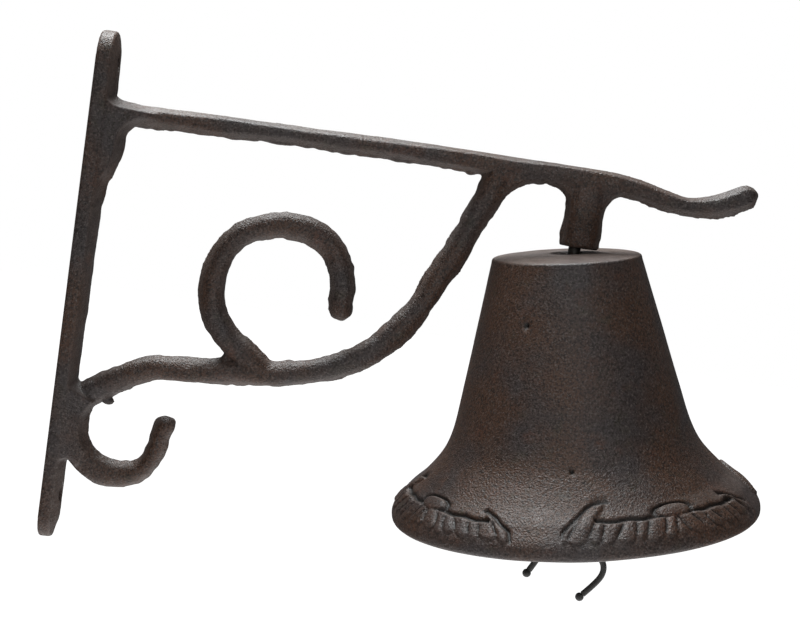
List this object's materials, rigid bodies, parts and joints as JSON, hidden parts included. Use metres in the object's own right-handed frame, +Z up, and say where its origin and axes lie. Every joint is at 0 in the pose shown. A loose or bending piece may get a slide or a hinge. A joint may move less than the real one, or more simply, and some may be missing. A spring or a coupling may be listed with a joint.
{
  "type": "wall mounted bell",
  "caption": "Cast iron bell on a scrolled wall bracket with a coat hook, rocking on a bolt and rung by a cord on its clapper.",
  "frame": {"origin": "on the wall face of the plate, midway between the two screw holes", "axes": "+Z up along the plate, +X away from the wall along the arm, Y across the plate"},
  "size_m": [0.2893, 0.15, 0.2076],
  "materials": {
    "cast_iron_brown": "satin brown paint over a sand-cast surface, mottled with rust and blue-grey",
    "hardware_steel": "dull plated steel",
    "cord_black": "black braided cord"
  },
  "bodies": {
    "bracket": {"bracket_casting": "cast_iron_brown", "eye_bolt": "hardware_steel", "hanger_nut": "hardware_steel", "dome_washer": "hardware_steel"},
    "rock_washer": {"dished_washer": "hardware_steel"},
    "rock_seat": {"seat_washer": "hardware_steel"},
    "bell_body": {"bell": "cast_iron_brown"},
    "link_body": {"clapper_link": "hardware_steel"},
    "clapper": {"clapper_rod": "hardware_steel", "clapper_bob": "cast_iron_brown", "cord_knot": "cord_black", "cord_tail_left": "cord_black", "cord_tail_right": "cord_black", "cord_end_left": "cord_black", "cord_end_right": "cord_black"}
  },
  "joints": [
    {"name": "bell_rock_side", "type": "hinge", "parent": "bracket", "child": "rock_washer", "pos_m": [0.1985, 0, 0.0254], "axis": [0, 1, 0], "range_deg": [-0.5, 22.5]},
    {"name": "bell_rock_front", "type": "hinge", "parent": "rock_washer", "child": "rock_seat", "pos_m": [0.1985, 0, 0.0254], "axis": [0.9816, 0, 0.1908], "range_deg": [-6, 6]},
    {"name": "bell_spin", "type": "hinge", "parent": "rock_seat", "child": "bell_body", "pos_m": [0.1985, 0, 0.0254], "axis": [-0.1908, 0, 0.9816], "continuous": true},
    {"name": "clapper_swing_side", "type": "hinge", "parent": "bracket", "child": "link_body", "pos_m": [0.1985, 0, 0.0144], "axis": [0, 1, 0], "range_deg": [-22, 26.5]},
    {"name": "clapper_swing_front", "type": "hinge", "parent": "link_body", "child": "clapper", "pos_m": [0.2008, 0, -0.00012], "axis": [0.9877, 0, 0.1564], "range_deg": [-25, 25]}
  ]
}
